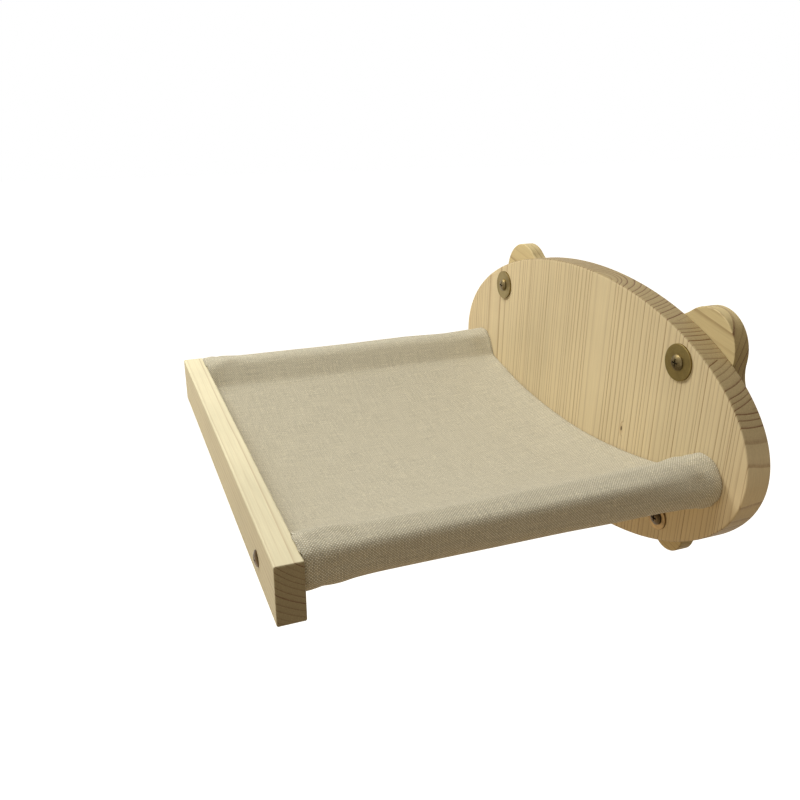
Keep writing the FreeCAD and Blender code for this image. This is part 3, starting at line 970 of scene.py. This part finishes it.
    def strip(self) -> bmesh.types.BMesh:
        """The cloth as an open grid, wrapped into place.

        Returns:
            The mesh.
        """
        length = self.rows[-1]
        sections = [self.section(place / length, self.hem_lift(place)) for place in self.rows]
        half_way = sections[len(sections) // 2]
        widths = [(after - before).length for before, after in zip(half_way, half_way[1:])]
        points = [[self.slipped(point, place) for point in section]
                  for section, place in zip(sections, self.rows)]
        return cloth_mesh(points, list(accumulate(widths, initial=0.0)), self.rows)

    def slipped(self, point: Vector, place: float) -> Vector:
        """Put an outline's point in place, slipped over the arm's end where it is above the rail.

        Args:
            point: The point in the XZ plane.
            place: Its distance from the board end.

        Returns:
            Where it goes.
        """
        there = Vector((point.x, self.back_y - place, point.z))
        share = smooth_step(there.z, self.rail_top + self.lip_from, self.rail_top + self.lip_full)
        share *= 1 - smooth_step(self.rows[-1] - place, 0.0, self.lip_length)
        axis = Vector((math.copysign(self.dowel.x, there.x), there.y, self.dowel.z))
        inward = (axis - there).normalized()
        return there + (inward * self.lip_drop - Vector((0.0, self.lip_reach, 0.0))) * share

    def settle(self, cloth: bpy.types.Object) -> None:
        """Let the panel hang from its seams in a cloth simulation, and keep the result.

        Args:
            cloth: The strip, whose sleeves are held.
        """
        held = cloth.vertex_groups.new(name="held")
        tight = cloth.vertex_groups.new(name="tight")
        for vertex in cloth.data.vertices:
            x, y, z = vertex.co
            share = (self.back_y - y) / (self.back_y - self.front_y)
            outside = abs(x) > self.seam.x - 0.5 * MM
            under = z < self.panel_height(x, share) - 0.5 * MM
            held.add([vertex.index], 1.0 if outside or under else 0.0, "REPLACE")
            from_edge = min(self.back_y - y, y - self.front_y)
            pull = 0.5 + 0.5 * noise.noise(vertex.co * 22.0)
            pull *= 1 - smooth_step(from_edge, 0.0, self.tight_reach)
            tight.add([vertex.index], pull, "REPLACE")
        modifier = cloth.modifiers.new("hang", "CLOTH")
        for setting, value in (
                ("quality", 8), ("mass", 0.15), ("tension_stiffness", 60.0),
                ("compression_stiffness", 60.0), ("shear_stiffness", 20.0),
                ("bending_stiffness", 0.6), ("air_damping", 4.0), ("vertex_group_mass", "held"),
                ("vertex_group_shrink", "tight"), ("shrink_min", 0.0), ("shrink_max", 0.008)):
            setattr(modifier.settings, setting, value)
        modifier.settings.effector_weights.gravity = self.hang_gravity
        modifier.collision_settings.use_collision = False
        scene = bpy.context.scene
        for number in range(1, self.hang_frames + 1):
            scene.frame_set(number)
        hung = cloth.evaluated_get(bpy.context.evaluated_depsgraph_get())
        places = [vertex.co.copy() for vertex in hung.data.vertices]
        cloth.modifiers.remove(modifier)
        for vertex, place in zip(cloth.data.vertices, places):
            vertex.co = place
        scene.frame_set(1)

    @property
    def first_hemmed(self) -> int:
        """The first column of the turned hem, just past the seam allowance."""
        return self.allowance_columns + self.straight_columns

    def hem(self, end: ClothEnd) -> bmesh.types.BMesh:
        """The cloth that is turned under at one free end, with its rounded fold.

        Args:
            end: Which end.

        Returns:
            The hem's middle surface.
        """
        fold = self.thickness / 2
        turns = [math.radians(angle) for angle in (90, 45, 0, -45, -90)]
        profile = [(-fold * math.cos(turn), fold * math.sin(turn) - fold) for turn in turns]
        profile += [(place, -self.thickness) for place in (5 * MM, 9.5 * MM, self.hem_width)]
        first, stop = self.first_hemmed, self.grid.last - self.first_hemmed + 1
        points = [[self.grid.point(column, end.place(inward, self.rows[-1]), lift)
                   for column in range(first, stop)] for inward, lift in profile]
        shape = cloth_mesh(points, self.grid.across[first:stop], [inward for inward, _ in profile])
        if end is ClothEnd.RAIL:
            bmesh.ops.reverse_faces(shape, faces=shape.faces)
        return shape

    def hem_spots(self, end: ClothEnd) -> list[Triple]:
        """Where one hem is sewn, on both faces of the cloth where both can be seen.

        Args:
            end: Which end.

        Returns:
            Each stitch's column, distance from the board end and lift off the middle surface.
        """
        grid, place = self.grid, end.place(self.hem_stitch_from_edge, self.rows[-1])
        start, stop = grid.across[self.first_hemmed], grid.across[grid.last - self.first_hemmed]
        past_sleeve = self.first_hemmed + self.straight_columns + self.arc_columns
        spots = []
        for index in range(int((stop - start) / self.stitch_pitch)):
            column = grid.column_at(start + (index + 0.5) * self.stitch_pitch)
            spots.append((column, place, self.thickness / 2))
            if past_sleeve < column < grid.last - past_sleeve:
                spots.append((column, place, self.under_hem * self.thickness))
        return spots

    def seam_spots(self, across: int) -> list[Triple]:
        """Where one sleeve's seam is sewn, above and below the cloth.

        Args:
            across: 1 for the right sleeve and -1 for the left.

        Returns:
            Each stitch's column, distance from the board end and lift off the middle surface.
        """
        step = self.seam_stitch_from_seam / (2 * self.seam.x) * self.panel_columns
        column = self.grid.last / 2 + across * (self.panel_columns / 2 - step)
        first = self.seam_stitches_from_end
        count = int((self.rows[-1] - 2 * first) / self.stitch_pitch)
        return [(column, first + (index + 0.5) * self.stitch_pitch, lift)
                for index in range(count)
                for lift in (self.thickness / 2, self.under_seam * self.thickness)]

    def stitches(self, spots: list[Triple], along_rows: bool) -> bmesh.types.BMesh:
        """Sew a row of stitches that lie on the cloth.

        Args:
            spots: Each stitch's column, distance from the board end and lift.
            along_rows: Whether they point from the board to the rail.

        Returns:
            The stitches.
        """
        grid, reach = self.grid, self.stitch_length / 2
        shape = bmesh.new()
        for column, place, lift in spots:
            if along_rows:
                ends = [(column, place + side) for side in (-reach, reach)]
            else:
                flat = grid.flat_at(column)
                ends = [(grid.column_at(flat + side), place) for side in (-reach, reach)]
            start, stop = [grid.point(*at, lift) for at in ends]
            line, up = (stop - start).normalized(), grid.normal(column, place)
            turned = Matrix((line.cross(up).normalized(), up, line)).transposed().to_4x4()
            size = Matrix.Diagonal((self.stitch_radius, self.stitch_radius, reach, 1.0))
            bmesh.ops.create_uvsphere(shape, u_segments=7, v_segments=5, radius=1.0,
                                      matrix=Matrix.Translation((start + stop) / 2) @ turned @ size)
        return shape


@dataclass
class WallScrew:
    """A pan-head wood screw: the head and shank of the CAD solid, with a cut thread behind."""

    place: str
    plating: Plating
    slot: str = "bronzed_screw"
    roughness: float = 0.44
    cut_y: float = -0.5 * MM
    core_radius: float = 1.65 * MM
    crest_radius: float = 2.5 * MM
    tip_radius: float = 0.02 * MM
    bare_tip: float = 1.2 * MM
    pitch: float = 2.4 * MM
    thread_half_foot: float = 0.55 * MM
    taper: float = 6.0 * MM
    steps_per_turn: int = 16
    centre: Vector = field(init=False)
    tip_y: float = field(init=False)

    def build(self) -> None:
        """Make the dressed screw and hide the plain one."""
        node = "wall_screw_" + self.place
        self.centre, self.tip_y = middle(node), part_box(node)[1].y
        shape = bmesh.new()
        shape.from_mesh(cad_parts[node].data)
        bmesh.ops.remove_doubles(shape, verts=shape.verts, dist=0.001 * MM)
        geometry = shape.verts[:] + shape.edges[:] + shape.faces[:]
        bmesh.ops.bisect_plane(shape, geom=geometry, dist=0.0001 * MM, clear_outer=True,
                               plane_co=(0.0, self.cut_y, 0.0), plane_no=(0.0, 1.0, 0.0))
        rim = [edge for edge in shape.edges if edge.is_boundary]
        bmesh.ops.holes_fill(shape, edges=rim, sides=len(rim))
        self.add_core(shape)
        self.add_thread(shape)
        bmesh.ops.recalc_face_normals(shape, faces=shape.faces)
        finish = PlatedFinish(self.plating.name.lower() + "_" + node, self.plating,
                              self.roughness, self.centre)
        piece = add_piece("threaded_" + node, shape, finish, smooth=False)
        shade_by_angle(piece)
        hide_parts(node)

    def add_core(self, shape: bmesh.types.BMesh) -> None:
        """Add the shaft that carries the thread, with its pointed end.

        Args:
            shape: Where it goes.
        """
        taper_y = self.tip_y - self.taper
        turned = Matrix.Rotation(math.radians(-90), 4, "X")
        for end_radius, y_from, y_to in ((self.core_radius, self.cut_y, taper_y),
                                         (self.tip_radius, taper_y, self.tip_y)):
            place = Matrix.Translation((self.centre.x, (y_from + y_to) / 2, self.centre.z))
            bmesh.ops.create_cone(shape, cap_ends=True, segments=32, radius1=self.core_radius,
                                  radius2=end_radius, depth=y_to - y_from, matrix=place @ turned)

    def add_thread(self, shape: bmesh.types.BMesh) -> None:
        """Add the helical ridge, which fades out on the point.

        Args:
            shape: Where it goes.
        """
        centre, tip_y = self.centre, self.tip_y
        turns = int((tip_y - self.bare_tip) / self.pitch)
        half, foot = self.thread_half_foot, 0.92 * self.core_radius
        ring = [shape.verts.new((centre.x + out, along, centre.z))
                for out, along in ((foot, 0.0), (self.crest_radius, half), (foot, 2 * half))]
        edges = [shape.edges.new((ring[index - 1], ring[index])) for index in (1, 2, 0)]
        before = set(shape.verts) - set(ring)
        bmesh.ops.spin(shape, geom=ring + edges, cent=centre, axis=(0.0, 1.0, 0.0),
                       dvec=(0.0, self.pitch / self.steps_per_turn, 0.0), angle=math.tau * turns,
                       steps=turns * self.steps_per_turn, use_duplicate=False)
        for vertex in set(shape.verts) - before:
            fade = 1 - smooth_step(vertex.co.y, tip_y - self.taper, tip_y)
            begin = smooth_step(vertex.co.y, -half, self.pitch)
            out = Vector((vertex.co.x - centre.x, 0.0, vertex.co.z - centre.z))
            wanted = max(fade, 0.05) * (foot + (out.length - foot) * begin)
            vertex.co.x = centre.x + out.x / out.length * wanted
            vertex.co.z = centre.z + out.z / out.length * wanted
        open_edges = [edge for edge in shape.edges if edge.is_boundary]
        bmesh.ops.holes_fill(shape, edges=open_edges, sides=3)


def shade_by_angle(piece: bpy.types.Object) -> None:
    """Shade a turned piece smooth, but keep the edges over 35 degrees sharp.

    Args:
        piece: What is shaded.
    """
    sharpest = math.radians(35)
    shape = bmesh.new()
    shape.from_mesh(piece.data)
    for face in shape.faces:
        face.smooth = True
    for edge in shape.edges:
        edge.smooth = len(edge.link_faces) == 2 and edge.calc_face_angle(math.pi) < sharpest
    shape.to_mesh(piece.data)
    shape.free()


@dataclass
class Fixings:
    """The wall screws with their washers, the rail's screw, and the hidden screws and bushes."""

    plated_roughness: float = 0.42
    zinc_roughness: float = 0.34
    brass_roughness: float = 0.3

    def build(self) -> None:
        """Dress every fixing."""
        for level, plating, screw_plating in (
                ("upper", Plating.ANTIQUE_BRASS, Plating.WORN_BRONZE),
                ("lower", Plating.YELLOW_ZINC, Plating.DARK_BRONZE)):
            for side in SIDES:
                place = level + "_" + side
                node = "washer_" + place
                dress(node, PlatedFinish(plating.name.lower() + "_" + node, plating,
                                         self.plated_roughness, middle(node)))
                WallScrew(place, screw_plating).build()
        dress("rail_screw", PlatedFinish("dark_bronze_rail_screw", Plating.DARK_BRONZE,
                                         self.plated_roughness, middle("rail_screw")))
        for side in SIDES:
            centre = middle("dowel_screw_" + side)
            zinc = PlatedFinish("white_zinc_" + side, Plating.WHITE_ZINC, self.zinc_roughness,
                                centre)
            brass = PlatedFinish("turned_brass_" + side, Plating.TURNED_BRASS,
                                 self.brass_roughness, centre)
            for node, finish in (("dowel_screw_", zinc), ("hanger_bolt_", zinc),
                                 ("rail_insert_", brass)):
                dress(node + side, finish)


@dataclass(frozen=True)
class Backdrop(Finish):
    """The start of a finish that is white to the eye and a soft light to the object."""

    def shown(self) -> Pattern:
        """Tell a ray that is seen, straight or in metal or glass, from one that lights.

        Returns:
            1 where it is seen.
        """
        rays = self.add("LightPath").outputs
        seen = self.add("Math.MAXIMUM", rays["Is Camera Ray"], rays["Is Glossy Ray"])
        return self.add("Math.MAXIMUM", seen, rays["Is Transmission Ray"])


@dataclass(frozen=True)
class FloorFinish(Backdrop):
    """Matt pale floor that keeps a shadow, and throws warm light back up at the object."""

    warm: str = "#E8CDA2"
    matt: str = "#E9E7E2"
    glow: float = 0.95

    def surface(self) -> bpy.types.Node:
        """Build the two sides of the floor.

        Returns:
            The shader's node.
        """
        lifted = self.add("AddShader", self.add("BsdfDiffuse", self.matt),
                          self.add("Emission", WHITE, self.glow))
        return self.add("MixShader", self.shown(), self.add("BsdfDiffuse", self.warm), lifted)


@dataclass(frozen=True)
class Sky(Backdrop):
    """A world that is white to the eye and a soft warm grey to the object."""

    colour: str = "#FFF2DC"
    level: float = 0.30
    library: ClassVar[str] = "worlds"

    def build(self) -> bpy.types.World:
        """Build the world's nodes.

        Returns:
            The world.
        """
        grey = [channel * self.level for channel in linear(self.colour)[:3]] + [1.0]
        tint = self.add("Mix", self.shown(), grey, WHITE, data_type="RGBA")
        self.add("OutputWorld", self.add("Background", tint))
        return self.block


@dataclass
class Studio:
    """A pale floor, a white world, four soft lamps and the camera of the photograph."""

    floor: Finish = FloorFinish("pale_floor")
    sky: Sky = Sky("studio")
    floor_z: float = -0.95
    floor_half_size: float = 12.0
    lamp_target: Triple = (0.0, -0.17, -0.01)
    camera_place: Triple = (0.5660, -0.4185, 0.2445)
    camera_azimuth: float = 68.61
    camera_elevation: float = 21.19
    camera_roll: float = 0.27
    focal_px: float = 793.6
    image_px: float = 800.0
    sensor: float = 36.0
    clip: Span = (0.01, 50.0)

    def build(self) -> None:
        """Make the stage, the lights and the camera."""
        self.make_floor()
        self.make_lamp("key", (-0.46, -0.62, 0.70), 0.30, 5.9, "#FFFDF4")
        self.make_lamp("top", (0.06, -0.55, 1.45), 0.7, 7.0, "#FFFDF6")
        self.make_lamp("fill", (1.5, -1.3, 0.5), 1.4, 1.5, "#FFF9EE")
        self.make_lamp("bounce", (-0.30, -0.95, -0.72), 1.2, 2.2, "#FFDFAE")
        self.make_camera()
        bpy.context.scene.world = self.sky.build()
        bpy.context.scene.view_settings.view_transform = "Standard"

    def make_floor(self) -> None:
        """Lay a wide floor far below."""
        shape = bmesh.new()
        bmesh.ops.create_grid(shape, x_segments=1, y_segments=1, size=self.floor_half_size)
        bmesh.ops.translate(shape, verts=shape.verts, vec=(0.0, 0.0, self.floor_z))
        mesh = bpy.data.meshes.new("floor")
        shape.to_mesh(mesh)
        shape.free()
        mesh.materials.append(self.floor.material)
        floor = add_object("floor", mesh)

    def make_lamp(self, name: str, place: Triple, size: float, power: float, colour: str) -> None:
        """Add one square area lamp that points at the middle of the hammock.

        Args:
            name: The lamp's name.
            place: Where it hangs.
            size: Its side.
            power: Its power in watts.
            colour: Its colour, in hex.
        """
        data = bpy.data.lights.new(name, "AREA")
        data.size, data.energy, data.color = size, power, linear(colour)[:3]
        lamp = add_object(name, data)
        lamp.location = place
        aim = Vector(self.lamp_target) - lamp.location
        lamp.rotation_euler = aim.to_track_quat("-Z", "Y").to_euler()

    def make_camera(self) -> None:
        """Set the camera where the photograph was taken from."""
        azimuth, elevation = math.radians(self.camera_azimuth), math.radians(self.camera_elevation)
        forward = Vector((-math.sin(azimuth) * math.cos(elevation),
                          math.cos(azimuth) * math.cos(elevation), -math.sin(elevation)))
        level = forward.cross(Vector((0.0, 0.0, 1.0))).normalized()
        upright = level.cross(forward)
        roll = math.radians(self.camera_roll)
        right = level * math.cos(roll) + upright * math.sin(roll)
        up = upright * math.cos(roll) - level * math.sin(roll)
        data = bpy.data.cameras.new("camera")
        data.sensor_width = self.sensor
        data.lens = self.focal_px * self.sensor / self.image_px
        data.clip_start, data.clip_end = self.clip
        camera = add_object("camera", data)
        turned = Matrix((right, up, -forward)).transposed().to_4x4()
        camera.matrix_world = Matrix.Translation(self.camera_place) @ turned
        bpy.context.scene.camera = camera


def main() -> None:
    """Build the hammock's looks in order."""
    logging.basicConfig(level=logging.INFO, format="%(name)s: %(message)s")
    for assembly in (Woodwork(), Sling(), Fixings(), Studio()):
        assembly.build()


if __name__ == "__main__":
    main()
